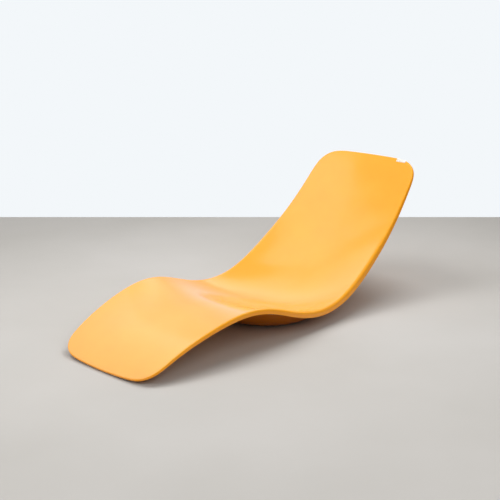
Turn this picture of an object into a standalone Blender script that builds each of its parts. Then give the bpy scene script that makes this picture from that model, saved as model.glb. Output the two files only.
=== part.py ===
# A moulded pool lounger: one long glass-fibre shell, wide at the seat and narrower at both ends, whose side
# view runs up from the floor at the foot end, over a knee, down into the seat and up the back.
# All sizes are in metres. +Z is up, the sitter faces -Y, and the origin is on the floor under the middle.
import math

import bmesh
import bpy
import numpy as np
from mathutils import Vector

# The shell's overall sizes.
developed_length = 1.820
half_width = 0.312
foot_edge_height = 0.0115

# Slope of the side edge in degrees, at even steps from the foot end to the head end.
edge_slopes = (35.7, 20.0, 6.2, -19.2, -2.7, 26.4, 35.1, 45.1, 47.2)
# Half width at even steps, as shares of half_width.
width_shares = (0.765, 0.924, 1.0, 0.941, 0.832)
# How far the middle lies below the side edges, at even steps.
dish_depth = 0.042
dish_shares = (0.05, 0.3, 0.75, 1.0, 1.0, 0.8, 0.5, 0.2, 0.0)
dish_power = 2.4

# The four corners and the slightly bowed ends.
foot_corner = 0.096
head_corner = 0.114
corner_power = 2.65
foot_bow = 0.028
head_bow = 0.012

# The lip rolls over at the edge and turns down into a flange below the roll, deepest beside the seat.
laminate = 0.0045
roll_radius = 0.0066
flange_depth = 0.0206
flange_shares = (0.03, 0.41, 0.69, 0.91, 1.0, 0.6, 0.13)
flange_draft = math.radians(6.0)

# The support base: a shallow oval pan under the seat with rounded bilges.
base_middle = 0.882
base_half_length = 0.165
bilge_length = 0.125
bilge_width = 0.064
bilge_height = 0.105
base_inset = 0.058
base_half_width = half_width - base_inset - bilge_width
pan_wall = 0.004
drain_radius = 0.005

# The strip of bonding laminate in the corner between pan and shell.
bond_width = 0.010
bond_depth = 0.006

# Rubber pads between the mouldings and the floor.
pad_height = 0.004
pad_radius = 0.013
pad_bevel = 0.0008
pad_length_share = 0.55
pad_width_share = 0.55
foot_pad_width = 0.045
foot_pad_length = 0.020
foot_pad_from_edge = 0.027
foot_pad_bevel = 0.003

# Clearances and how finely the forms are cut.
seat_gap = 0.0004
cut_overrun = 0.05
corner_rows = 6
middle_rows = 42
columns = 18
roll_steps = 4
pan_segments = 56
bilge_rings = 6
wall_overrun = 0.05
room_height = 0.25
crowding = math.radians(72.0)
profile_steps = 600


# A natural cubic spline through values at even steps of a share from 0 to 1.
def even_spline(values):
    count = len(values)
    step = 1.0 / (count - 1)
    values = np.array(values, float)
    matrix = np.eye(count)
    right = np.zeros(count)
    for i in range(1, count - 1):
        matrix[i, i - 1:i + 2] = (1.0, 4.0, 1.0)
        right[i] = 6.0 * (values[i - 1] - 2.0 * values[i] + values[i + 1]) / step**2
    bends = np.linalg.solve(matrix, right)

    def value_at(share):
        share = np.clip(share, 0.0, 1.0)
        i = np.minimum((share / step).astype(int), count - 2)
        near = share - i * step
        left = step - near
        curve = (bends[i] * left**3 + bends[i + 1] * near**3) / (6.0 * step)
        line = (values[i] / step - bends[i] * step / 6.0) * left
        return curve + line + (values[i + 1] / step - bends[i + 1] * step / 6.0) * near

    return value_at


slope_at = even_spline(np.radians(edge_slopes))
width_at = even_spline(half_width * np.array(width_shares))
dish_at = even_spline(dish_depth * np.array(dish_shares))
flange_at = even_spline(flange_depth * np.array(flange_shares))

# The side edge, found by walking along its slopes.
walk_shares = np.linspace(0.0, 1.0, profile_steps)
walk_slopes = slope_at(walk_shares)
stride = developed_length / (profile_steps - 1)


def walked(direction):
    return np.concatenate([[0.0], np.cumsum((direction[1:] + direction[:-1]) * stride / 2.0)])


edge_y = walked(np.cos(walk_slopes))
edge_z = foot_edge_height + walked(np.sin(walk_slopes))


# A point of the upper face: s runs along the side edge and t across. Past the ends it goes straight on.
def shell_point(s, t):
    share = np.clip(s / developed_length, 0.0, 1.0)
    slope = slope_at(share)
    beyond = s - share * developed_length
    y = np.interp(share, walk_shares, edge_y) + beyond * np.cos(slope)
    z = np.interp(share, walk_shares, edge_z) + beyond * np.sin(slope)
    across = np.minimum(np.abs(t) / width_at(share), 1.0)
    drop = dish_at(share) * (1.0 - across**dish_power)
    return np.stack([t, y + drop * np.sin(slope), z - drop * np.cos(slope)], axis=-1)


# The rows of the surface from foot to head, each as its place along the edge and its half width.
def surface_rows():
    turn = np.linspace(0.0, math.pi / 2.0, corner_rows + 1)
    along = 1.0 - np.cos(turn) ** (2.0 / corner_power)
    inward = 1.0 - np.sin(turn) ** (2.0 / corner_power)
    first, last = roll_radius, developed_length - roll_radius
    middle = np.linspace(first + foot_corner, last - head_corner, middle_rows + 1)[1:-1]
    places = np.concatenate([first + foot_corner * along, middle, (last - head_corner * along)[::-1]])
    trims = np.concatenate([foot_corner * inward, np.zeros(len(middle)), (head_corner * inward)[::-1]])
    share = places / developed_length
    rise = dish_at(share) * dish_power / width_at(share)
    lip = roll_radius * (math.cos(flange_draft) + np.sin(np.arctan(rise)))
    return places, width_at(share) - lip - trims


# Ends bow outwards in the middle, so a point further out on an end row sits further in.
def bowed(place, across):
    foot_fade = np.clip(1.0 - place / (3.0 * foot_corner), 0.0, 1.0)
    head_fade = np.clip(1.0 - (developed_length - place) / (3.0 * head_corner), 0.0, 1.0)
    return place + (foot_bow * foot_fade - head_bow * head_fade) * (across / half_width) ** 2


# The direction straight out of the surface at (s, t), from its two tangents.
def shell_normal(s, t):
    step = developed_length / profile_steps
    along = shell_point(s + step, t) - shell_point(s - step, t)
    across = shell_point(s, t + step) - shell_point(s, t - step)
    normal = np.cross(across, along)
    return normal / np.linalg.norm(normal)


def new_object(name, bm, material):
    mesh = bpy.data.meshes.new(name)
    bm.normal_update()
    bm.to_mesh(mesh)
    bm.free()
    if material:
        mesh.materials.append(material)
    mesh.shade_smooth()
    made = bpy.data.objects.new(name, mesh)
    bpy.context.collection.objects.link(made)
    return made


def new_material(name, colour, roughness, coat):
    material = bpy.data.materials.new(name)
    material.use_nodes = True
    shader = material.node_tree.nodes["Principled BSDF"]
    shader.inputs["Base Color"].default_value = (*colour, 1.0)
    shader.inputs["Roughness"].default_value = roughness
    shader.inputs["Metallic"].default_value = 0.0
    shader.inputs["Coat Weight"].default_value = coat
    return material


# The swept grid of the upper face, as rows of (vertex, place along the edge, place across).
def shell_grid(bm):
    places, halves = surface_rows()
    fractions = np.linspace(-1.0, 1.0, columns + 1)
    # Columns crowd towards the edges, where the dish is steepest.
    fractions = np.sin(fractions * crowding) / math.sin(crowding)
    grid = []
    for place, half in zip(places, halves):
        row = [(bowed(place, t), t) for t in half * fractions]
        grid.append([(bm.verts.new(shell_point(np.float64(s), t)), s, t) for s, t in row])
    for low, high in zip(grid, grid[1:]):
        for i in range(columns):
            bm.faces.new([low[i][0], low[i + 1][0], high[i + 1][0], high[i][0]])
    return grid


# The grid's border, once round.
def border_of(grid):
    right = [row[-1] for row in grid[:-1]]
    left = [row[0] for row in grid[:0:-1]]
    return grid[0][:-1] + right + grid[-1][:0:-1] + left


# The seat shell: the grid, a rolled lip all round it, then the laminate's thickness on the inside.
def seat_shell(material):
    bm = bmesh.new()
    loop = border_of(shell_grid(bm))
    rings = [[vert for vert, s, t in loop]]
    profiles = [lip_profile(loop, i) for i in range(len(loop))]
    for k in range(roll_steps + 1):
        rings.append([bm.verts.new(profile[k]) for profile in profiles])
    for inner, outer in zip(rings, rings[1:]):
        for i in range(len(loop)):
            j = (i + 1) % len(loop)
            bm.faces.new([inner[i], outer[i], outer[j], inner[j]])
    shell = new_object("seat_shell", bm, material)
    thickness = shell.modifiers.new("laminate", "SOLIDIFY")
    thickness.thickness = laminate
    thickness.offset = -1.0
    thickness.use_even_offset = True
    return shell


# The room that the shell takes, grown upwards and downwards: it trims whatever seats under the shell.
def shell_room(name, deep):
    bm = bmesh.new()
    grid = shell_grid(bm)
    bm.normal_update()
    lows = {}
    for row in grid:
        for vert, s, t in row:
            lows[vert] = bm.verts.new(vert.co - vert.normal * deep)
    for face in list(bm.faces):
        bm.faces.new([lows[vert] for vert in reversed(face.verts)])
    loop = [vert for vert, s, t in border_of(grid)]
    for i, vert in enumerate(loop):
        after = loop[(i + 1) % len(loop)]
        bm.faces.new([vert, lows[vert], lows[after], after])
    for row in grid:
        for vert, s, t in row:
            vert.co.z += room_height
    bmesh.ops.recalc_face_normals(bm, faces=bm.faces)
    return as_cutter(name, bm)


# The lip's points beyond one point of the surface's border: an arc over the crest, then the flange's foot.
def lip_profile(loop, i):
    vert, s, t = loop[i]
    before, after = loop[i - 1][0].co, loop[(i + 1) % len(loop)][0].co
    share = np.clip(s / developed_length, 0.0, 1.0)
    slope = float(slope_at(share))
    up = Vector((0.0, -math.sin(slope), math.cos(slope)))
    normal = Vector(shell_normal(np.float64(s), t))
    tangent = after - before
    outward = tangent.cross(up).normalized()
    leaving = tangent.cross(normal).normalized()
    start = math.atan2(leaving.dot(up), leaving.dot(outward))
    end = flange_draft - math.pi / 2.0
    points = []
    for k in range(1, roll_steps + 1):
        angle = start + (end - start) * k / roll_steps
        out = roll_radius * (math.sin(start) - math.sin(angle))
        rise = roll_radius * (math.cos(angle) - math.cos(start))
        points.append(vert.co + outward * out + up * rise)
    drop = float(flange_at(share))
    points.append(points[-1] - up * drop + outward * drop * math.tan(flange_draft))
    return points


# A mesh that only cuts others.
def as_cutter(name, bm):
    cutter = new_object(name, bm, None)
    cutter.hide_render = True
    cutter.display_type = "WIRE"
    return cutter


def cut_by(piece, cutter, operation="DIFFERENCE"):
    cut = piece.modifiers.new(cutter.name, "BOOLEAN")
    cut.operation = operation
    cut.object = cutter


# A place on the pan's outer face: round is the angle in plan and lift the angle up the bilge.
def pan_point(round_angle, lift, grown=0.0):
    reach = math.sin(lift)
    x = (base_half_width + bilge_width * reach + grown) * math.sin(round_angle)
    y = base_middle + (base_half_length + bilge_length * reach + grown) * math.cos(round_angle)
    return Vector((x, y, pad_height + bilge_height * (1.0 - math.cos(lift))))


# The pan's outer face: a flat floor, a bilge that rises to upright, and a wall run on into the shell.
def pan_face(bm, grown=0.0):
    rounds = [2.0 * math.pi * i / pan_segments for i in range(pan_segments)]
    lifts = [math.pi / 2.0 * k / bilge_rings for k in range(bilge_rings + 1)]
    rings = [[bm.verts.new(pan_point(angle, lift, grown)) for angle in rounds] for lift in lifts]
    rings.append([bm.verts.new(vert.co + Vector((0.0, 0.0, wall_overrun))) for vert in rings[-1]])
    for lower, upper in zip(rings, rings[1:]):
        for i in range(pan_segments):
            j = (i + 1) % pan_segments
            bm.faces.new([lower[i], lower[j], upper[j], upper[i]])
    bm.faces.new(rings[0][::-1])
    return rings


# The support base: the pan's face given its wall on the inside, trimmed to the shell and drained.
def support_base(room, material):
    bm = bmesh.new()
    pan_face(bm)
    bmesh.ops.recalc_face_normals(bm, faces=bm.faces)
    pan = new_object("support_base", bm, material)
    wall = pan.modifiers.new("wall", "SOLIDIFY")
    wall.thickness = pan_wall
    wall.offset = -1.0
    wall.use_even_offset = True
    cut_by(pan, room)
    cut_by(pan, drain_cutter())
    return pan


# The pan as one solid lump, grown outwards.
def pan_lump(bm, grown):
    rings = pan_face(bm, grown)
    bm.faces.new(rings[-1])
    bmesh.ops.recalc_face_normals(bm, faces=bm.faces)


# The bonding strip: what lies just outside the pan and just under the shell.
def bond_strip(room, material):
    outer, inner = bmesh.new(), bmesh.new()
    pan_lump(outer, bond_width)
    pan_lump(inner, seat_gap)
    strip = new_object("bond_strip", outer, material)
    cut_by(strip, shell_room("strip_room", laminate + seat_gap + bond_depth), "INTERSECT")
    cut_by(strip, room)
    cut_by(strip, as_cutter("pan_room", inner))
    return strip


def drain_cutter():
    bm = bmesh.new()
    bmesh.ops.create_cone(bm, cap_ends=True, segments=20, radius1=drain_radius, radius2=drain_radius,
                          depth=pad_height + pan_wall)
    cutter = as_cutter("drain_cutter", bm)
    cutter.location = (0.0, base_middle, pad_height + pan_wall / 2.0)
    return cutter


def base_pad(name, x, y, material):
    bm = bmesh.new()
    height = pad_height - seat_gap
    bmesh.ops.create_cone(bm, cap_ends=True, segments=24, radius1=pad_radius, radius2=pad_radius,
                          depth=height)
    bmesh.ops.bevel(bm, geom=bm.edges[:], offset=pad_bevel, segments=1, affect="EDGES", clamp_overlap=True)
    pad = new_object(name, bm, material)
    pad.location = (x, y, height / 2.0)
    return pad


# A rubber wedge behind the foot end's lip: flat on the floor and trimmed to the shell above.
def foot_pad(name, x, room, material):
    bm = bmesh.new()
    bmesh.ops.create_cube(bm, size=1.0)
    size = Vector((foot_pad_width, foot_pad_length, cut_overrun))
    middle = Vector((x, edge_y[0] + foot_pad_from_edge + foot_pad_length / 2.0, cut_overrun / 2.0))
    for vert in bm.verts:
        vert.co = vert.co * size + middle
    upright = [edge for edge in bm.edges if abs(edge.verts[0].co.z - edge.verts[1].co.z) > foot_pad_bevel]
    bmesh.ops.bevel(bm, geom=upright, offset=foot_pad_bevel, segments=3, affect="EDGES", clamp_overlap=True)
    pad = new_object(name, bm, material)
    cut_by(pad, room)
    return pad


def main():
    for old in list(bpy.data.objects):
        bpy.data.objects.remove(old)
    gelcoat = new_material("orange_gelcoat", (0.85, 0.42, 0.05), 0.28, 0.5)
    paste = new_material("bonding_laminate", (0.62, 0.32, 0.08), 0.6, 0.0)
    rubber = new_material("black_rubber", (0.02, 0.02, 0.02), 0.8, 0.0)
    shell = seat_shell(gelcoat)
    room = shell_room("shell_room", laminate + seat_gap)
    pieces = [shell, support_base(room, gelcoat), bond_strip(room, paste)]
    pad_x = pad_width_share * base_half_width
    pad_y = pad_length_share * base_half_length
    for name, side, end in (("base_pad_front_left", 1, -1), ("base_pad_front_right", -1, -1),
                            ("base_pad_rear_left", 1, 1), ("base_pad_rear_right", -1, 1)):
        pieces.append(base_pad(name, side * pad_x, base_middle + end * pad_y, rubber))
    # The foot pads end where the foot end's corners begin.
    spread = float(width_at(0.0)) - foot_corner - foot_pad_width / 2.0
    pieces.append(foot_pad("foot_pad_left", spread, room, rubber))
    pieces.append(foot_pad("foot_pad_right", -spread, room, rubber))
    # The origin moves under the middle of the shell's length.
    bpy.context.view_layer.update()
    ends = [corner[1] for corner in shell.bound_box]
    middle = (min(ends) + max(ends)) / 2.0
    for piece in bpy.data.objects:
        piece.location.y -= middle


main()
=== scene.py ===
# Looks of a moulded glass-fibre pool lounger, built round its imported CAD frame.
# The long shell, its oval base, the bonding between them, the rubber feet and a paper label get their finish here.
import math

import bmesh
import bpy
import numpy as np
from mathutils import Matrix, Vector
from mathutils.bvhtree import BVHTree


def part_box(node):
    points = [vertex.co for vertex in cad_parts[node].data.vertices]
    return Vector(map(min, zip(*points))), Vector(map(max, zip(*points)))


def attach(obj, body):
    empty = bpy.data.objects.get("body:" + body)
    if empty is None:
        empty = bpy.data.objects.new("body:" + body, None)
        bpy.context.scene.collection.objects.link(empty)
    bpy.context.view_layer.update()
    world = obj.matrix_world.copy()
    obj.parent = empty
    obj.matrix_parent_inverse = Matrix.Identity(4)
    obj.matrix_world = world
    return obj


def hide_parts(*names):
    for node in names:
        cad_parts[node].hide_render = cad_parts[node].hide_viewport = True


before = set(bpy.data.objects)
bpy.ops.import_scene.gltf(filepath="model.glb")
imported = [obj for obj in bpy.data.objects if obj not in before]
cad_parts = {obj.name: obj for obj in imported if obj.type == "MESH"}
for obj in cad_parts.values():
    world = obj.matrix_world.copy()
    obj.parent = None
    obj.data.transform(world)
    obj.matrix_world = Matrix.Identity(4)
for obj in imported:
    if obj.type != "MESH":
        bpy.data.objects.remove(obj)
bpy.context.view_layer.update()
print("stage 1: frame loaded")


# Small helpers for objects.
def deselectAll():
    if bpy.context.mode != "OBJECT":
        bpy.ops.object.mode_set(mode="OBJECT")
    bpy.ops.object.select_all(action="DESELECT")


def makeActive(piece):
    deselectAll()
    piece.select_set(True)
    bpy.context.view_layer.objects.active = piece


def nameActive(name):
    piece = bpy.context.active_object
    piece.name = name
    piece.data.name = name
    return piece


def addModifier(piece, kind, **settings):
    modifier = piece.modifiers.new(kind.lower(), kind)
    for key, value in settings.items():
        setattr(modifier, key, value)
    return modifier


def applyModifiers(piece):
    makeActive(piece)
    for name in [modifier.name for modifier in piece.modifiers]:
        bpy.ops.object.modifier_apply(modifier=name)


# Rounds the edges that turn by more than an angle, over a width in metres and in so many steps.
def roundEdges(piece, width, steps, turnedBy=math.radians(50.0)):
    addModifier(piece, "BEVEL", width=width, segments=steps, limit_method="ANGLE", angle_limit=turnedBy)


# Slots to be filled later, so that a wall's inner faces and rim can already point at their own.
def addSlots(piece, count):
    for _ in range(count):
        piece.data.materials.append(None)


def settle(piece):
    makeActive(piece)
    bpy.ops.object.transform_apply(location=True, rotation=True, scale=True)
    bpy.ops.object.shade_smooth()


# Small helpers for edit mode. The first numbers a piece's points, so that each ring extruded from them knows its
# place in the outline.
def numberPoints(piece, orderOf):
    bm = bmesh.from_edit_mesh(piece.data)
    order = bm.verts.layers.int.new("order")
    for vert in bm.verts:
        vert[order] = orderOf(vert)
    bmesh.update_edit_mesh(piece.data)


# Extrudes the selected outline again and again, and lays each new ring where placeAt says.
def extrudeOutline(piece, steps, placeAt):
    for step in range(1, steps + 1):
        bpy.ops.mesh.extrude_edges_move()
        bm = bmesh.from_edit_mesh(piece.data)
        order = bm.verts.layers.int["order"]
        for vert in bm.verts:
            if vert.select:
                vert.co = placeAt(vert[order], step)
        bmesh.update_edit_mesh(piece.data)


def selectOpenEdges():
    bpy.ops.mesh.select_all(action="DESELECT")
    bpy.ops.mesh.select_non_manifold(extend=False, use_wire=False, use_multi_face=False,
                                     use_non_contiguous=False, use_verts=False)


# Leaves edit mode with the faces agreed on one way out and the points' numbers gone.
def endEditing(piece):
    bpy.ops.mesh.select_all(action="SELECT")
    bpy.ops.mesh.normals_make_consistent(inside=False)
    bpy.ops.object.mode_set(mode="OBJECT")
    piece.data.attributes.remove(piece.data.attributes["order"])


# On an open sheet that way is a guess, so it is turned to face up or down before it gets its wall.
def turnSheet(piece, upward):
    facing = sum(face.normal.z * face.area for face in piece.data.polygons)
    if (facing > 0.0) != upward:
        piece.data.flip_normals()


# Small helpers for materials.
def hexColour(code):
    channels = [int(code[i:i + 2], 16) / 255.0 for i in (1, 3, 5)]
    linear = [c / 12.92 if c <= 0.04045 else ((c + 0.055) / 1.055) ** 2.4 for c in channels]
    return (*linear, 1.0)


def newMaterial(name):
    material = bpy.data.materials.new(name)
    material.use_nodes = True
    material.node_tree.nodes.clear()
    return material


# Adds a node with its settings, its inputs as values or links, and a ramp's stops as places and hex colours. Sockets
# that share a name go by number: a colour mix has its share at 0, its colours at 6 and 7, and its result at 2.
def addNode(owner, kind, inputs=None, stops=(), **settings):
    tree = owner.node_tree
    node = tree.nodes.new(kind)
    for key, value in settings.items():
        setattr(node, key, value)
    for key, value in (inputs or {}).items():
        if isinstance(value, bpy.types.NodeSocket):
            tree.links.new(value, node.inputs[key])
        else:
            node.inputs[key].default_value = value
    for number, (place, colour) in enumerate(stops):
        elements = node.color_ramp.elements
        element = elements[number] if number < 2 else elements.new(place)
        element.position = place
        element.color = hexColour(colour)
    return node


# A pattern's scale for a feature of that many millimetres.
def perMetre(millimetres):
    return 1000.0 / millimetres


# The camera stands where the photograph's perspective puts it. Places here and below are in metres.
viewpoint = {
    "place": (2.533, -2.803, 1.349),
    "tilt": math.radians(74.17),
    "turn": math.radians(42.29),
    "lens": 70.06,
    "sensor": 36.0,
    "farthest": 60.0,
}


def addCamera():
    bpy.ops.object.camera_add(location=viewpoint["place"])
    camera = bpy.context.active_object
    camera.name = "photoCamera"
    camera.rotation_euler = (viewpoint["tilt"], 0.0, viewpoint["turn"])
    camera.data.lens = viewpoint["lens"]
    camera.data.sensor_width = viewpoint["sensor"]
    camera.data.clip_end = viewpoint["farthest"]
    bpy.context.scene.camera = camera


# A pale studio: floor to the foot of a white background, a broad key from above and behind, a bank over the left,
# weak fills from the right and the foot end, and two level cards on the left that only the gloss sees. No lamp shows
# to the camera. A glow is how bright a card is from its left edge to its right.
studio = {
    "floorTones": ((0.3, "#bfbcb7"), (0.7, "#c7c4c0")),
    "floorClouds": {"Scale": perMetre(900.0), "Detail": 5.0},
    "floorFinish": {"Roughness": 0.8, "Specular IOR Level": 0.0},
    "floorReach": 7.0,  # half the floor's width
    "floorDepth": 5.455,  # from below the camera to the background's foot
    "backgroundColour": "#f3f7fa",
    "skyColour": "#ffffff",
    "skyStrength": 0.24,
    "glossLevels": ((0.0, "#fafafa"), (0.4, "#f4f4f4"), (0.8, "#ebebeb")),  # by height
    "glossSides": {"From Min": -0.1, "From Max": 0.35, "To Min": 1.0, "To Max": 0.1},  # from the left to the right
}
lamps = {
    "key": {
        "place": (0.1, 1.3, 2.9), "aim": (0.0, 0.0, 0.2), "size": (1.5, 1.5), "power": 50.0,
        "hiddenFrom": "visible_glossy"},
    "bank": {
        "place": (-1.2, -0.9, 3.0), "aim": (0.0, 0.0, 0.2), "size": (1.6, 1.6), "power": 45.0,
        "hiddenFrom": "visible_glossy"},
    "rightFill": {
        "place": (2.5, -0.9, 2.2), "aim": (0.0, 0.0, 0.2), "size": (1.8, 1.8), "power": 26.0,
        "hiddenFrom": "visible_glossy"},
    "footFill": {
        "place": (-0.4, -3.2, 1.9), "aim": (0.0, 0.0, 0.3), "size": (2.4, 1.6), "power": 32.0,
        "hiddenFrom": "visible_glossy"},
    "footCard": {
        "place": (-1.5, -0.59, 1.6), "aim": (-1.5, -0.59, 0.0), "size": (1.22, 2.02), "power": 12.5,
        "hiddenFrom": "visible_diffuse"},
    "headCard": {
        "place": (-2.11, 1.67, 1.6), "aim": (-2.11, 1.67, 0.0), "size": (1.98, 2.5), "power": 30.5,
        "hiddenFrom": "visible_diffuse",
        "glow": ((0.0, "#595959"), (0.5, "#7c7c7c"), (0.68, "#cacaca"), (0.8, "#d2d2d2"), (0.9, "#c6c6c6"))},
}


def addFloor():
    turn = viewpoint["turn"]
    forward = Vector((-math.sin(turn), math.cos(turn), 0.0))
    belowCamera = Vector((*viewpoint["place"][:2], 0.0))
    middle = belowCamera + forward * (studio["floorDepth"] - studio["floorReach"])
    bpy.ops.mesh.primitive_plane_add(size=2.0 * studio["floorReach"], location=middle, rotation=(0.0, 0.0, turn))
    floor = nameActive("studioFloor")
    concrete = newMaterial("pale_concrete")
    coordinates = addNode(concrete, "ShaderNodeTexCoord")
    clouds = addNode(concrete, "ShaderNodeTexNoise", {
        "Vector": coordinates.outputs["Object"], **studio["floorClouds"]})
    tint = addNode(concrete, "ShaderNodeValToRGB", {"Fac": clouds.outputs["Fac"]}, stops=studio["floorTones"])
    shader = addNode(concrete, "ShaderNodeBsdfPrincipled", {
        "Base Color": tint.outputs["Color"], **studio["floorFinish"]})
    addNode(concrete, "ShaderNodeOutputMaterial", {"Surface": shader.outputs["BSDF"]})
    floor.data.materials.append(concrete)


def addLamp(name, lamp):
    bpy.ops.object.light_add(type="AREA", location=lamp["place"])
    light = bpy.context.active_object
    light.name = name + "Lamp"
    light.data.shape = "RECTANGLE"
    light.data.size, light.data.size_y = lamp["size"]
    light.data.energy = lamp["power"]
    light.rotation_euler = (Vector(lamp["aim"]) - Vector(lamp["place"])).to_track_quat("-Z", "Y").to_euler()
    light.visible_camera = False
    setattr(light, lamp["hiddenFrom"], False)
    if "glow" in lamp:
        light.data.use_nodes = True
        light.data.node_tree.nodes.clear()
        face = addNode(light.data, "ShaderNodeNewGeometry")
        across = addNode(light.data, "ShaderNodeSeparateXYZ", {"Vector": face.outputs["Parametric"]})
        levels = addNode(light.data, "ShaderNodeValToRGB", {"Fac": across.outputs["X"]}, stops=lamp["glow"])
        emission = addNode(light.data, "ShaderNodeEmission", {"Color": levels.outputs["Color"], "Strength": 1.0})
        addNode(light.data, "ShaderNodeOutputLight", {"Surface": emission.outputs["Emission"]})


# The camera sees the white background, and the gloss sees it too, dim on the camera's side. All else is lit by far
# less.
def addWorld():
    world = bpy.data.worlds.new("paleRoom")
    bpy.context.scene.world = world
    world.use_nodes = True
    world.node_tree.nodes.clear()
    lit = addNode(world, "ShaderNodeBackground", {
        "Color": hexColour(studio["skyColour"]), "Strength": studio["skyStrength"]})
    seen = addNode(world, "ShaderNodeBackground", {"Color": hexColour(studio["backgroundColour"]), "Strength": 1.0})
    direction = addNode(world, "ShaderNodeTexCoord")
    split = addNode(world, "ShaderNodeSeparateXYZ", {"Vector": direction.outputs["Generated"]})
    levels = addNode(world, "ShaderNodeValToRGB", {"Fac": split.outputs["Z"]}, stops=studio["glossLevels"])
    side = addNode(world, "ShaderNodeMapRange", {"Value": split.outputs["X"], **studio["glossSides"]})
    mirrored = addNode(world, "ShaderNodeBackground", {
        "Color": levels.outputs["Color"], "Strength": side.outputs["Result"]})
    path = addNode(world, "ShaderNodeLightPath")
    glossy = addNode(world, "ShaderNodeMixShader", {
        0: path.outputs["Is Glossy Ray"], 1: lit.outputs["Background"], 2: mirrored.outputs["Background"]})
    camera = addNode(world, "ShaderNodeMixShader", {
        0: path.outputs["Is Camera Ray"], 1: glossy.outputs["Shader"], 2: seen.outputs["Background"]})
    addNode(world, "ShaderNodeOutputWorld", {"Surface": camera.outputs["Shader"]})


addCamera()
addFloor()
addWorld()
for lampName, lampValues in lamps.items():
    addLamp(lampName, lampValues)
bpy.context.scene.view_settings.view_transform = "Standard"
print("stage 2: studio ready")


# The long shell. Slopes are degrees at even steps along its side edge, from the foot end up, and the rows of shares
# run the same way. Roll radii and flange depths are the lip's least, at the ends, and its most, beside the seat.
shell = {
    "developedLength": 1.820,
    "halfWidth": 0.312,
    "footEdgeHeight": 0.0115,
    "edgeSlopes": (35.7, 20.0, 6.2, -19.2, -2.7, 26.4, 35.1, 45.1, 47.2),
    "widthShares": (0.765, 0.924, 1.0, 0.941, 0.832),
    "dishDepth": 0.042,
    "dishShares": (0.05, 0.3, 0.75, 1.0, 1.0, 0.8, 0.5, 0.2, 0.0),
    "dishPower": 2.4,  # 2 is a parabola across, more is a flatter middle
    "footCorner": 0.096,
    "headCorner": 0.114,
    "cornerPower": 2.65,  # 2 is a round corner, more is squarer
    "footBow": 0.028,
    "headBow": 0.012,
    "bowFade": 3.0,  # in corner lengths
    "laminate": 0.0045,
    "rollRadii": (0.0036, 0.0112),
    "flangeDepths": (0.003, 0.0158),
    "lipShares": (0.03, 0.41, 0.69, 0.91, 1.0, 0.6, 0.13),
    "flangeDraft": math.radians(6.0),
    "endTrim": 0.0014,  # keeps the ends inside the CAD's box
    "edgeRound": (0.0012, 2, math.radians(70.0)),  # no edge turns by about that much, so each run rounds the same ones
    "cornerRows": 7,
    "middleRows": 50,
    "columns": 20,
    "crowding": math.radians(72.0),  # columns crowd toward the sides, as the sine does toward a right angle
    "rollSteps": 5,
    "smoothing": 2,
    "walkSteps": 1200,
}


# A natural cubic spline through values at even steps of a share from 0 to 1.
def evenSpline(values):
    count = len(values)
    step = 1.0 / (count - 1)
    values = np.array(values, float)
    matrix = np.eye(count)
    right = np.zeros(count)
    for i in range(1, count - 1):
        matrix[i, i - 1:i + 2] = (1.0, 4.0, 1.0)
        right[i] = 6.0 * (values[i - 1] - 2.0 * values[i] + values[i + 1]) / step**2
    bends = np.linalg.solve(matrix, right)

    def valueAt(share):
        share = min(max(share, 0.0), 1.0)
        i = min(int(share / step), count - 2)
        near = share - i * step
        left = step - near
        curve = (bends[i] * left**3 + bends[i + 1] * near**3) / (6.0 * step)
        line = (values[i] / step - bends[i] * step / 6.0) * left
        return curve + line + (values[i + 1] / step - bends[i + 1] * step / 6.0) * near

    return valueAt


slopeAt = evenSpline(np.radians(shell["edgeSlopes"]))
widthAt = evenSpline(shell["halfWidth"] * np.array(shell["widthShares"]))
dishAt = evenSpline(shell["dishDepth"] * np.array(shell["dishShares"]))
lipAt = evenSpline(shell["lipShares"])


# Both the lip's roll and the straight flange below it are largest under the seat.
def lipSize(sizes, share):
    return sizes[0] + (sizes[1] - sizes[0]) * lipAt(share)


def rollAt(share):
    return lipSize(shell["rollRadii"], share)


# The side edge, walked along its slopes as the mould's own template would be drawn.
def walkEdge():
    shares = np.linspace(0.0, 1.0, shell["walkSteps"])
    slopes = np.array([slopeAt(share) for share in shares])
    stride = shell["developedLength"] / (shell["walkSteps"] - 1)
    ys, zs = np.zeros(len(shares)), np.full(len(shares), shell["footEdgeHeight"])
    ys[1:] += np.cumsum((np.cos(slopes[1:]) + np.cos(slopes[:-1])) * stride / 2.0)
    zs[1:] += np.cumsum((np.sin(slopes[1:]) + np.sin(slopes[:-1])) * stride / 2.0)
    return shares, ys, zs


edgeShares, edgeYs, edgeZs = walkEdge()


# A point of the upper face: s runs along the side edge and t across it.
def mouldPoint(s, t):
    share = min(max(s / shell["developedLength"], 0.0), 1.0)
    slope = slopeAt(share)
    beyond = s - share * shell["developedLength"]
    y = float(np.interp(share, edgeShares, edgeYs)) + beyond * math.cos(slope)
    z = float(np.interp(share, edgeShares, edgeZs)) + beyond * math.sin(slope)
    across = min(abs(t) / widthAt(share), 1.0)
    drop = dishAt(share) * (1.0 - across ** shell["dishPower"])
    return Vector((t, y + drop * math.sin(slope), z - drop * math.cos(slope)))


def mouldNormal(s, t):
    step = shell["developedLength"] / shell["walkSteps"]
    along = mouldPoint(s + step, t) - mouldPoint(s - step, t)
    across = mouldPoint(s, t + step) - mouldPoint(s, t - step)
    return across.cross(along).normalized()


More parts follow.
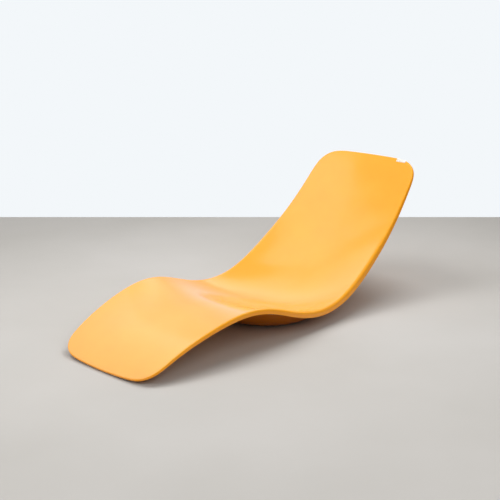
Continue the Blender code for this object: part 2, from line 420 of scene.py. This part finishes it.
# Rows of the sheet from foot to head, as places along the edge and half widths, with the corners rounded.
def sheetRows():
    turn = np.linspace(0.0, math.pi / 2.0, shell["cornerRows"] + 1)
    along = 1.0 - np.cos(turn) ** (2.0 / shell["cornerPower"])
    inward = 1.0 - np.sin(turn) ** (2.0 / shell["cornerPower"])
    first = rollAt(0.0) + shell["endTrim"]
    last = shell["developedLength"] - rollAt(1.0) - shell["endTrim"]
    foot, head = shell["footCorner"], shell["headCorner"]
    middle = np.linspace(first + foot, last - head, shell["middleRows"] + 1)[1:-1]
    places = np.concatenate([first + foot * along, middle, (last - head * along)[::-1]])
    trims = np.concatenate([foot * inward, np.zeros(len(middle)), (head * inward)[::-1]])
    halves = []
    for place, trim in zip(places, trims):
        share = place / shell["developedLength"]
        steep = math.atan(dishAt(share) * shell["dishPower"] / widthAt(share))
        lip = rollAt(share) * (math.cos(shell["flangeDraft"]) + math.sin(steep))
        halves.append(widthAt(share) - lip - trim)
    return places, halves


# The ends bow outwards in the middle, so a place further across on an end row lies further in.
def bowed(place, across):
    footFade = max(0.0, 1.0 - place / (shell["bowFade"] * shell["footCorner"]))
    headFade = max(0.0, 1.0 - (shell["developedLength"] - place) / (shell["bowFade"] * shell["headCorner"]))
    return place + (shell["footBow"] * footFade - shell["headBow"] * headFade) * (across / shell["halfWidth"]) ** 2


# The lip beyond one border point: an arc over the crest, then down to the flange's foot.
def lipProfile(border, i):
    s, t = border[i]
    here = mouldPoint(s, t)
    before = mouldPoint(*border[i - 1])
    after = mouldPoint(*border[(i + 1) % len(border)])
    share = min(max(s / shell["developedLength"], 0.0), 1.0)
    slope = slopeAt(share)
    up = Vector((0.0, -math.sin(slope), math.cos(slope)))
    tangent = after - before
    outward = tangent.cross(up).normalized()
    leaving = tangent.cross(mouldNormal(s, t)).normalized()
    start = math.atan2(leaving.dot(up), leaving.dot(outward))
    end = shell["flangeDraft"] - math.pi / 2.0
    radius, steps = rollAt(share), shell["rollSteps"]
    points = []
    for k in range(1, steps + 1):
        angle = start + (end - start) * k / steps
        out = radius * (math.sin(start) - math.sin(angle))
        rise = radius * (math.cos(angle) - math.cos(start))
        points.append(here + outward * out + up * rise)
    depth = lipSize(shell["flangeDepths"], share)
    points.append(points[-1] + (outward * math.tan(shell["flangeDraft"]) - up) * depth)
    return points


# The shell starts as a flat sheet, is laid over the mould and gets its lip extruded all round.
def makeShell():
    places, halves = sheetRows()
    rows, columns = len(places) - 1, shell["columns"]
    fractions = np.sin(np.linspace(-1.0, 1.0, columns + 1) * shell["crowding"]) / math.sin(shell["crowding"])
    flat = [[(bowed(place, half * f), half * f) for f in fractions] for place, half in zip(places, halves)]
    ring = [(0, i) for i in range(columns)] + [(j, columns) for j in range(rows)]
    ring += [(rows, i) for i in range(columns, 0, -1)] + [(j, 0) for j in range(rows, 0, -1)]
    order = {corner: k for k, corner in enumerate(ring)}
    profiles = [lipProfile([flat[j][i] for j, i in ring], k) for k in range(len(ring))]

    def gridPlace(vert):
        return round((vert.co.y + 0.5) * rows), round((vert.co.x + 0.5) * columns)

    deselectAll()
    bpy.ops.mesh.primitive_grid_add(x_subdivisions=columns, y_subdivisions=rows, size=1.0)
    piece = nameActive("shell_skin")
    bpy.ops.object.mode_set(mode="EDIT")
    numberPoints(piece, lambda vert: order.get(gridPlace(vert), 0))
    bm = bmesh.from_edit_mesh(piece.data)
    for vert in bm.verts:
        j, i = gridPlace(vert)
        vert.co = mouldPoint(*flat[j][i])
    bmesh.update_edit_mesh(piece.data)
    selectOpenEdges()
    extrudeOutline(piece, shell["rollSteps"] + 1, lambda number, step: profiles[number][step - 1])
    endEditing(piece)
    turnSheet(piece, upward=True)
    addModifier(piece, "SUBSURF", levels=shell["smoothing"], render_levels=shell["smoothing"])
    applyModifiers(piece)

    # The smoothed sheet is centred where the CAD shell is.
    low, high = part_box("seat_shell")
    ys = [vert.co.y for vert in piece.data.vertices]
    piece.location.y = (low[1] + high[1]) / 2.0 - (min(ys) + max(ys)) / 2.0
    settle(piece)
    return piece


# The laminate's thickness goes inwards; its inner face and its trimmed edge have their own finishes.
def thickenShell(piece):
    addSlots(piece, 3)
    addModifier(piece, "SOLIDIFY", thickness=shell["laminate"], offset=-1.0, use_even_offset=True,
                material_offset=1, material_offset_rim=2)
    roundEdges(piece, *shell["edgeRound"])
    applyModifiers(piece)
    settle(piece)


shellPiece = makeShell()
thickenShell(shellPiece)
print("stage 3: shell with", len(shellPiece.data.polygons), "faces")


# Height of the shell's underside over a place on the floor, found by looking up at it.
shellTree = BVHTree.FromPolygons([vert.co for vert in shellPiece.data.vertices],
                                 [face.vertices for face in shellPiece.data.polygons])


def undersideAt(x, y):
    hit = shellTree.ray_cast(Vector((x, y, -1.0)), Vector((0.0, 0.0, 1.0)))[0]
    return hit.z


# The oval pan under the seat: a flat floor with a drain hole and a rounded bilge up to the shell.
base = {
    "halfWidth": 0.190,
    "halfLength": 0.165,
    "bilgeWidth": 0.064,
    "bilgeLength": 0.125,
    "bilgeHeight": 0.105,
    "floorGap": 0.004,
    "wall": 0.004,
    "seatGap": 0.0004,
    "rimFrom": 0.035,  # above this height the pan's points are kept under the shell
    "drainRadius": 0.005,
    "edgeRound": (0.0008, 2),
    "segments": 128,
    "floorRings": 5,
    "bilgeRings": 18,
    "liftRange": (0.2, 2.4),
    "halvings": 30,
}
baseMiddle = sum(corner[1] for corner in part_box("support_base")) / 2.0


# A place on the pan's outer face, or outside it by so much: lift is the angle up the bilge, and past upright the wall
# goes straight on.
def bilgePoint(number, lift, grown=0.0):
    angle = 2.0 * math.pi * number / base["segments"]
    reach = math.sin(min(lift, math.pi / 2.0))
    x = (base["halfWidth"] + base["bilgeWidth"] * reach + grown) * math.sin(angle)
    y = baseMiddle + (base["halfLength"] + base["bilgeLength"] * reach + grown) * math.cos(angle)
    z = base["floorGap"] + base["bilgeHeight"] * (1.0 - math.cos(min(lift, math.pi / 2.0)))
    return Vector((x, y, z + base["bilgeHeight"] * max(0.0, lift - math.pi / 2.0)))


# The lift at which the pan's face is so far below the shell, found by halving.
def liftUnder(number, below, grown=0.0):
    low, high = base["liftRange"]
    for _ in range(base["halvings"]):
        lift = (low + high) / 2.0
        place = bilgePoint(number, lift, grown)
        if place.z < undersideAt(place.x, place.y) - below:
            low = lift
        else:
            high = lift
    return low


# A ring of points to extrude from, numbered the way bilgePoint turns.
def startRing(name, radius):
    deselectAll()
    bpy.ops.mesh.primitive_circle_add(vertices=base["segments"], radius=radius, fill_type="NOTHING",
                                      location=(0.0, baseMiddle, base["floorGap"]))
    piece = nameActive(name)
    bpy.ops.object.transform_apply(location=True, rotation=False, scale=False)
    bpy.ops.object.mode_set(mode="EDIT")
    stride = 2.0 * math.pi / base["segments"]
    numberPoints(piece, lambda vert: round(math.atan2(vert.co.x, vert.co.y - baseMiddle) / stride) % base["segments"])
    return piece


def makeBase():
    tops = [liftUnder(number, base["seatGap"]) for number in range(base["segments"])]

    def placeAt(number, step):
        rim = bilgePoint(number, 0.0)
        if step <= base["floorRings"]:
            middle = Vector((0.0, baseMiddle, rim.z))
            inner = (rim - middle).normalized() * base["drainRadius"]
            return middle + inner.lerp(rim - middle, step / base["floorRings"])
        return bilgePoint(number, tops[number] * (step - base["floorRings"]) / base["bilgeRings"])

    piece = startRing("base_pan", base["drainRadius"])
    extrudeOutline(piece, base["floorRings"] + base["bilgeRings"], placeAt)
    endEditing(piece)
    turnSheet(piece, upward=False)
    addSlots(piece, 2)
    addModifier(piece, "SOLIDIFY", thickness=base["wall"], offset=-1.0, use_even_offset=True, material_offset=1,
                material_offset_rim=1)
    applyModifiers(piece)
    for vert in piece.data.vertices:
        if vert.co.z > base["rimFrom"]:
            vert.co.z = min(vert.co.z, undersideAt(vert.co.x, vert.co.y) - base["seatGap"])
    roundEdges(piece, *base["edgeRound"])
    applyModifiers(piece)
    settle(piece)
    return piece


basePiece = makeBase()
print("stage 4: base with", len(basePiece.data.polygons), "faces")


# The bonding laminate: strips of resin-wet glass mat pressed into the corner between pan and shell.
bond = {
    "gap": 0.0003,
    "reach": 0.010,  # out along the shell
    "depth": 0.009,  # down the pan
    "sag": 0.45,  # how far its face is hollowed toward the corner
    "arcSteps": 5,
    "unevenness": 0.0016,
    "waves": ((7, 0.4), (13, 1.9), (29, 4.1)),  # counts round the pan and where each starts
}


def makeBond():
    gap, arc = bond["gap"], bond["arcSteps"]
    sections = []
    for number in range(base["segments"]):
        turn = 2.0 * math.pi * number / base["segments"]
        ragged = sum(math.sin(count * turn + start) for count, start in bond["waves"]) / len(bond["waves"])
        grow = bond["unevenness"] * ragged
        foot = bilgePoint(number, liftUnder(number, bond["depth"] + grow, gap), gap)
        corner = bilgePoint(number, liftUnder(number, gap, gap), gap)
        outer = bilgePoint(number, math.pi / 2.0, gap)
        away = Vector((outer.x, outer.y - baseMiddle, 0.0)).normalized()
        edge = corner + away * (bond["reach"] + grow)
        edge.z = undersideAt(edge.x, edge.y) - gap
        hollow = corner.lerp((edge + foot) / 2.0, bond["sag"])
        curve = []
        for k in range(1, arc):
            part = k / arc
            curve.append(edge.lerp(hollow, part).lerp(hollow.lerp(foot, part), part))
        sections.append([foot, corner, edge, *curve])

    piece = startRing("bond_fillet", base["halfWidth"])
    bm = bmesh.from_edit_mesh(piece.data)
    order = bm.verts.layers.int["order"]
    for vert in bm.verts:
        vert.co = sections[vert[order]][0]
    bmesh.update_edit_mesh(piece.data)
    extrudeOutline(piece, len(sections[0]) - 1, lambda number, step: sections[number][step])
    selectOpenEdges()
    bpy.ops.mesh.bridge_edge_loops()
    endEditing(piece)
    settle(piece)
    return piece


bondPiece = makeBond()
print("stage 5: bonding laminate with", len(bondPiece.data.polygons), "faces")


# Rubber feet: four round bumpers under the pan and two wedges under the foot end.
feet = {
    "bumperSides": 48,
    "bumperRecess": 0.0006,
    "bumperLand": 0.004,
    "bumperRound": (0.0008, 3),
    "wedgeRound": (0.0016, 3),
    "wedgeCuts": 3,
    "seatGap": 0.0004,
    "crispFrom": math.radians(35.0),
}
bumperNodes = ("base_pad_front_left", "base_pad_front_right", "base_pad_rear_left", "base_pad_rear_right")
wedgeNodes = ("foot_pad_left", "foot_pad_right")


def settleRubber(piece):
    settle(piece)
    bpy.ops.object.shade_smooth_by_angle(angle=feet["crispFrom"])


# One bumper is modelled with a shallow recess in the face that looks down, and copied to each place.
def makeBumpers():
    low, high = (Vector(corner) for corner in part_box(bumperNodes[0]))
    size, middle = high - low, (low + high) / 2.0
    deselectAll()
    bpy.ops.mesh.primitive_cylinder_add(vertices=feet["bumperSides"], radius=size.x / 2.0, depth=size.z,
                                        location=middle)
    first = nameActive(bumperNodes[0] + "_rubber")
    bpy.ops.object.mode_set(mode="EDIT")
    bpy.ops.mesh.select_all(action="DESELECT")
    bm = bmesh.from_edit_mesh(first.data)
    for face in bm.faces:
        face.select_set(face.normal.z < -0.9)
    bmesh.update_edit_mesh(first.data)
    bpy.ops.mesh.inset(thickness=feet["bumperLand"])
    bpy.ops.transform.translate(value=(0.0, 0.0, feet["bumperRecess"]))
    bpy.ops.object.mode_set(mode="OBJECT")
    roundEdges(first, *feet["bumperRound"])
    applyModifiers(first)
    pieces = [first]
    for node in bumperNodes[1:]:
        makeActive(first)
        bpy.ops.object.duplicate(linked=False)
        copy = nameActive(node + "_rubber")
        copyLow, copyHigh = (Vector(corner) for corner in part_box(node))
        copy.location = (copyLow + copyHigh) / 2.0
        pieces.append(copy)
    for piece in pieces:
        settleRubber(piece)
    return pieces


# A wedge starts as a block, and the points of its top are pushed up against the shell.
def makeWedge(node):
    low, high = (Vector(corner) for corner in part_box(node))
    deselectAll()
    bpy.ops.mesh.primitive_cube_add(size=1.0, location=(low + high) / 2.0, scale=high - low)
    piece = nameActive(node + "_rubber")
    bpy.ops.object.transform_apply(location=True, rotation=True, scale=True)
    bpy.ops.object.mode_set(mode="EDIT")
    bpy.ops.mesh.subdivide(number_cuts=feet["wedgeCuts"])
    bm = bmesh.from_edit_mesh(piece.data)
    for vert in bm.verts:
        top = undersideAt(vert.co.x, vert.co.y) - feet["seatGap"]
        vert.co.z = low.z + (vert.co.z - low.z) / (high.z - low.z) * (top - low.z)
    bmesh.update_edit_mesh(piece.data)
    bpy.ops.object.mode_set(mode="OBJECT")
    roundEdges(piece, *feet["wedgeRound"])
    applyModifiers(piece)
    settleRubber(piece)
    return piece


bumperPieces = makeBumpers()
wedgePieces = [makeWedge(node) for node in wedgeNodes]
print("stage 6: rubber feet")


# A blank paper label stuck over the lip at the head end. Its size is its length along that end and its height.
label = {
    "middle": (0.170, 0.789, 0.556),
    "size": (0.048, 0.018),
    "lean": math.radians(48.0),
    "skew": math.radians(-2.0),
    "cuts": 23,
    "clearance": 0.0003,
    "paper": 0.0002,
}


def makeLabel():
    deselectAll()
    bpy.ops.mesh.primitive_plane_add(size=1.0)
    piece = nameActive("blank_label")
    piece.scale = (*label["size"], 1.0)
    piece.rotation_euler = (label["lean"], 0.0, label["skew"])
    piece.location = label["middle"]
    bpy.ops.object.transform_apply(location=True, rotation=True, scale=True)
    bpy.ops.object.mode_set(mode="EDIT")
    bpy.ops.mesh.subdivide(number_cuts=label["cuts"])
    bpy.ops.object.mode_set(mode="OBJECT")
    addModifier(piece, "SHRINKWRAP", target=shellPiece, wrap_method="NEAREST_SURFACEPOINT",
                wrap_mode="OUTSIDE_SURFACE", offset=label["clearance"])
    addModifier(piece, "SOLIDIFY", thickness=label["paper"], offset=1.0)
    applyModifiers(piece)
    settle(piece)
    return piece


labelPiece = makeLabel()
print("stage 7: label")


# Polyester gelcoat, sprayed into a polished mould: even orange, glossy, with a faint orange peel. Faces that look
# sideways or down get a deeper orange, which is painted shade and side light; the pan's copy is darker still, painted
# shade under the shell. Years by a pool have clouded the gloss in patches, wiped fine marks along its length and laid
# a film of dust close to the floor.
gelcoat = {
    "tones": ((0.3, "#f5a220"), (0.5, "#f7a624"), (0.72, "#f8aa2a")),  # from the deep clouds to the faded ones
    # Painted shade and side light: the deeper orange that faces looking sideways or down get, for the shell and,
    # darker, for the pan.
    "sideOnPaintedShade": {"sprayed_orange_gelcoat_painted_side_shade": "#ffa008", "orange_gelcoat_painted_shade": "#c9700a"},  # shell and pan
    "paintedShadeFacing": {"From Min": 0.0, "From Max": 0.62},  # by how far up a face looks
    "gloss": {"From Min": 0.3, "From Max": 0.72, "To Min": 0.09, "To Max": 0.15},  # roughness over the clouds
    "clouds": {"Scale": perMetre(260.0), "Detail": 4.0, "Roughness": 0.55},
    "wipes": {"Scale": perMetre(2.5), "Detail": 3.0},
    "wipeStretch": (1.0, 0.06, 0.06),
    "wipeShare": 0.05,
    "waves": {"Scale": perMetre(160.0), "Detail": 1.0},
    "waveBump": {"Strength": 0.2, "Distance": 0.004},
    "peel": {"Scale": perMetre(3.0), "Detail": 2.0},
    "peelBump": {"Strength": 0.1, "Distance": 0.0002},
    "dust": "#b39a78",
    "dustFilm": {"From Min": 0.0, "From Max": 0.020, "To Min": 0.5, "To Max": 0.0},  # by height
    "refraction": 1.52,
}


def makeGelcoat(name):
    material = newMaterial(name)
    coordinates = addNode(material, "ShaderNodeTexCoord")
    place = coordinates.outputs["Object"]
    split = addNode(material, "ShaderNodeSeparateXYZ", {"Vector": place})
    face = addNode(material, "ShaderNodeNewGeometry")
    upward = addNode(material, "ShaderNodeSeparateXYZ", {"Vector": face.outputs["Normal"]})

    # Colour: clouded, with painted shade and side light deepening the faces that look sideways or down, and dusty near
    # the floor.
    clouds = addNode(material, "ShaderNodeTexNoise", {"Vector": place, **gelcoat["clouds"]})
    tint = addNode(material, "ShaderNodeValToRGB", {"Fac": clouds.outputs["Fac"]}, stops=gelcoat["tones"])
    # Painted shade: faces turned away from above take the deeper side-on colour instead of the clouded tones.
    shadeByFacing = addNode(material, "ShaderNodeMapRange", {"Value": upward.outputs["Z"], **gelcoat["paintedShadeFacing"]})
    paintedSideShade = addNode(material, "ShaderNodeMix", {
        0: shadeByFacing.outputs["Result"], 6: hexColour(gelcoat["sideOnPaintedShade"][name]), 7: tint.outputs["Color"]}, data_type="RGBA")
    low = addNode(material, "ShaderNodeMapRange", {"Value": split.outputs["Z"], **gelcoat["dustFilm"]})
    film = addNode(material, "ShaderNodeMath", {
        0: low.outputs["Result"], 1: clouds.outputs["Fac"]}, operation="MULTIPLY")
    dusted = addNode(material, "ShaderNodeMix", {
        0: film.outputs["Value"], 6: paintedSideShade.outputs[2], 7: hexColour(gelcoat["dust"])}, data_type="RGBA")

    # Roughness: the clouds' gloss, and the wipe marks and dust on top of it.
    gloss = addNode(material, "ShaderNodeMapRange", {"Value": clouds.outputs["Fac"], **gelcoat["gloss"]})
    drawn = addNode(material, "ShaderNodeMapping", {"Vector": place, "Scale": gelcoat["wipeStretch"]})
    wipes = addNode(material, "ShaderNodeTexNoise", {"Vector": drawn.outputs["Vector"], **gelcoat["wipes"]})
    worn = addNode(material, "ShaderNodeMath", {
        0: wipes.outputs["Fac"], 1: gelcoat["wipeShare"], 2: gloss.outputs["Result"]}, operation="MULTIPLY_ADD")
    matt = addNode(material, "ShaderNodeMath", {0: worn.outputs["Value"], 1: film.outputs["Value"]}, operation="ADD")

    # Bumps: the mould's long waves and the orange peel.
    waves = addNode(material, "ShaderNodeTexNoise", {"Vector": place, **gelcoat["waves"]})
    peel = addNode(material, "ShaderNodeTexNoise", {"Vector": place, **gelcoat["peel"]})
    long = addNode(material, "ShaderNodeBump", {"Height": waves.outputs["Fac"], **gelcoat["waveBump"]})
    short = addNode(material, "ShaderNodeBump", {
        "Height": peel.outputs["Fac"], "Normal": long.outputs["Normal"], **gelcoat["peelBump"]})
    shader = addNode(material, "ShaderNodeBsdfPrincipled", {
        "Base Color": dusted.outputs[2], "Roughness": matt.outputs["Value"],
        "Normal": short.outputs["Normal"], "IOR": gelcoat["refraction"]})
    addNode(material, "ShaderNodeOutputMaterial", {"Surface": shader.outputs["BSDF"]})
    return material


# Chopped glass strands in resin, lying at these turns. They are drawn 1.4 mm wide, as bundles, so that they show.
strands = {
    "turns": (0.3, 1.1, 1.9, 2.7),
    "fibres": {"Scale": perMetre(1.4), "Detail": 2.0},
    "stretch": (22.0, 1.0, 22.0),
    "standing": {"From Min": 0.52, "From Max": 0.66},
}


def addStrands(material, place):
    height = 0.0
    for turn in strands["turns"]:
        laid = addNode(material, "ShaderNodeMapping", {
            "Vector": place, "Rotation": (0.0, 0.0, turn), "Scale": strands["stretch"]}, vector_type="TEXTURE")
        fibres = addNode(material, "ShaderNodeTexNoise", {"Vector": laid.outputs["Vector"], **strands["fibres"]})
        lifted = addNode(material, "ShaderNodeMapRange", {"Value": fibres.outputs["Fac"], **strands["standing"]})
        height = addNode(material, "ShaderNodeMath", {
            0: lifted.outputs["Result"], 1: height}, operation="MAXIMUM").outputs["Value"]
    return height


# Hand-laid glass mat under a brushed flow coat: the same orange, duller and uneven, with the mat's strands.
underside = {
    "tones": ((0.3, "#dd860f"), (0.7, "#ee981e")),
    "blotches": {"Scale": perMetre(60.0), "Detail": 6.0, "Roughness": 0.65},
    "raised": "#f2ac44",
    "raisedShare": 0.5,
    "bump": {"Strength": 0.6, "Distance": 0.0006},
    "roughness": 0.55,
}


def makeUnderside(name):
    material = newMaterial(name)
    coordinates = addNode(material, "ShaderNodeTexCoord")
    place = coordinates.outputs["Object"]
    blotches = addNode(material, "ShaderNodeTexNoise", {"Vector": place, **underside["blotches"]})
    tint = addNode(material, "ShaderNodeValToRGB", {"Fac": blotches.outputs["Fac"]}, stops=underside["tones"])
    mat = addStrands(material, place)
    share = addNode(material, "ShaderNodeMath", {0: mat, 1: underside["raisedShare"]}, operation="MULTIPLY")
    worked = addNode(material, "ShaderNodeMix", {
        0: share.outputs["Value"], 6: tint.outputs["Color"], 7: hexColour(underside["raised"])}, data_type="RGBA")
    bump = addNode(material, "ShaderNodeBump", {"Height": mat, **underside["bump"]})
    shader = addNode(material, "ShaderNodeBsdfPrincipled", {
        "Base Color": worked.outputs[2], "Roughness": underside["roughness"], "Normal": bump.outputs["Normal"]})
    addNode(material, "ShaderNodeOutputMaterial", {"Surface": shader.outputs["BSDF"]})
    return material


# Sawn and sanded laminate edge: amber resin round pale glass, matt, in thin layers.
trimmed = {
    "tones": ((0.35, "#dd9a3c"), (0.65, "#efbf72")),
    "layers": {"Scale": perMetre(1.2), "Detail": 3.0},
    "roughness": 0.5,
}


def makeTrimmedEdge(name):
    material = newMaterial(name)
    coordinates = addNode(material, "ShaderNodeTexCoord")
    layers = addNode(material, "ShaderNodeTexNoise", {"Vector": coordinates.outputs["Object"], **trimmed["layers"]})
    tint = addNode(material, "ShaderNodeValToRGB", {"Fac": layers.outputs["Fac"]}, stops=trimmed["tones"])
    shader = addNode(material, "ShaderNodeBsdfPrincipled", {
        "Base Color": tint.outputs["Color"], "Roughness": trimmed["roughness"]})
    addNode(material, "ShaderNodeOutputMaterial", {"Surface": shader.outputs["BSDF"]})
    return material


# Resin-wet glass mat, cured without a flow coat: amber resin with the pale strands showing.
bonding = {
    "tones": ((0.0, "#b56f1e"), (1.0, "#ddae63")),
    "bump": {"Strength": 0.7, "Distance": 0.0006},
    "roughness": 0.4,
}


def makeBondLaminate(name):
    material = newMaterial(name)
    coordinates = addNode(material, "ShaderNodeTexCoord")
    mat = addStrands(material, coordinates.outputs["Object"])
    tint = addNode(material, "ShaderNodeValToRGB", {"Fac": mat}, stops=bonding["tones"])
    bump = addNode(material, "ShaderNodeBump", {"Height": mat, **bonding["bump"]})
    shader = addNode(material, "ShaderNodeBsdfPrincipled", {
        "Base Color": tint.outputs["Color"], "Roughness": bonding["roughness"], "Normal": bump.outputs["Normal"]})
    addNode(material, "ShaderNodeOutputMaterial", {"Surface": shader.outputs["BSDF"]})
    return material


# Moulded natural rubber, matt black and slightly grey where it rubs on the floor.
rubber = {
    "tones": ((0.0, "#1b1a19"), (1.0, "#4b4743")),
    "dustFilm": {"From Min": 0.0, "From Max": 0.003, "To Min": 0.7, "To Max": 0.0},  # by height
    "grain": {"Scale": perMetre(0.8), "Detail": 2.0},
    "bump": {"Strength": 0.4, "Distance": 0.0002},
    "roughness": 0.8,
}


def makeRubber(name):
    material = newMaterial(name)
    coordinates = addNode(material, "ShaderNodeTexCoord")
    place = coordinates.outputs["Object"]
    split = addNode(material, "ShaderNodeSeparateXYZ", {"Vector": place})
    grain = addNode(material, "ShaderNodeTexNoise", {"Vector": place, **rubber["grain"]})
    low = addNode(material, "ShaderNodeMapRange", {"Value": split.outputs["Z"], **rubber["dustFilm"]})
    patchy = addNode(material, "ShaderNodeMath", {
        0: low.outputs["Result"], 1: grain.outputs["Fac"]}, operation="MULTIPLY")
    tint = addNode(material, "ShaderNodeValToRGB", {"Fac": patchy.outputs["Value"]}, stops=rubber["tones"])
    bump = addNode(material, "ShaderNodeBump", {"Height": grain.outputs["Fac"], **rubber["bump"]})
    shader = addNode(material, "ShaderNodeBsdfPrincipled", {
        "Base Color": tint.outputs["Color"], "Roughness": rubber["roughness"], "Normal": bump.outputs["Normal"]})
    addNode(material, "ShaderNodeOutputMaterial", {"Surface": shader.outputs["BSDF"]})
    return material


# Coated label paper, left blank: off-white, slightly yellowed, with a low sheen and faint creases.
paper = {
    "tones": ((0.35, "#d8d1c0"), (0.6, "#e4e2dc")),
    "blotches": {"Scale": perMetre(9.0), "Detail": 4.0},
    "creases": {"Scale": perMetre(16.0), "Randomness": 1.0},
    "creaseFade": {"From Min": 0.0, "From Max": 0.06},
    "bump": {"Strength": 0.5, "Distance": 0.0002},
    "roughness": 0.45,
}


def makePaper(name):
    material = newMaterial(name)
    coordinates = addNode(material, "ShaderNodeTexCoord")
    place = coordinates.outputs["Object"]
    blotches = addNode(material, "ShaderNodeTexNoise", {"Vector": place, **paper["blotches"]})
    tint = addNode(material, "ShaderNodeValToRGB", {"Fac": blotches.outputs["Fac"]}, stops=paper["tones"])
    creases = addNode(material, "ShaderNodeTexVoronoi", {"Vector": place, **paper["creases"]},
                      feature="DISTANCE_TO_EDGE")
    folded = addNode(material, "ShaderNodeMapRange", {"Value": creases.outputs["Distance"], **paper["creaseFade"]})
    bump = addNode(material, "ShaderNodeBump", {"Height": folded.outputs["Result"], **paper["bump"]})
    shader = addNode(material, "ShaderNodeBsdfPrincipled", {
        "Base Color": tint.outputs["Color"], "Roughness": paper["roughness"], "Normal": bump.outputs["Normal"]})
    addNode(material, "ShaderNodeOutputMaterial", {"Surface": shader.outputs["BSDF"]})
    return material


def finishPiece(piece, node, materials):
    addSlots(piece, len(materials) - len(piece.data.materials))
    for number, material in enumerate(materials):
        piece.data.materials[number] = material
    if node:
        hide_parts(node)
    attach(piece, "root")


orangeGelcoat = makeGelcoat("sprayed_orange_gelcoat_painted_side_shade")
# The pan's gelcoat is the same orange, with a darker painted shade on its sides.
panGelcoatPaintedShade = makeGelcoat("orange_gelcoat_painted_shade")
glassUnderside = makeUnderside("hand_laid_glass_underside")
blackRubber = makeRubber("moulded_black_rubber")
finishPiece(shellPiece, "seat_shell", (
    orangeGelcoat, glassUnderside, makeTrimmedEdge("trimmed_glass_laminate")))
finishPiece(basePiece, "support_base", (panGelcoatPaintedShade, glassUnderside))
finishPiece(bondPiece, "bond_strip", (makeBondLaminate("resin_wet_glass_mat"),))
for piece, node in zip(bumperPieces + wedgePieces, bumperNodes + wedgeNodes):
    finishPiece(piece, node, (blackRubber,))
finishPiece(labelPiece, None, (makePaper("coated_label_paper"),))
print("stage 8: finishes")
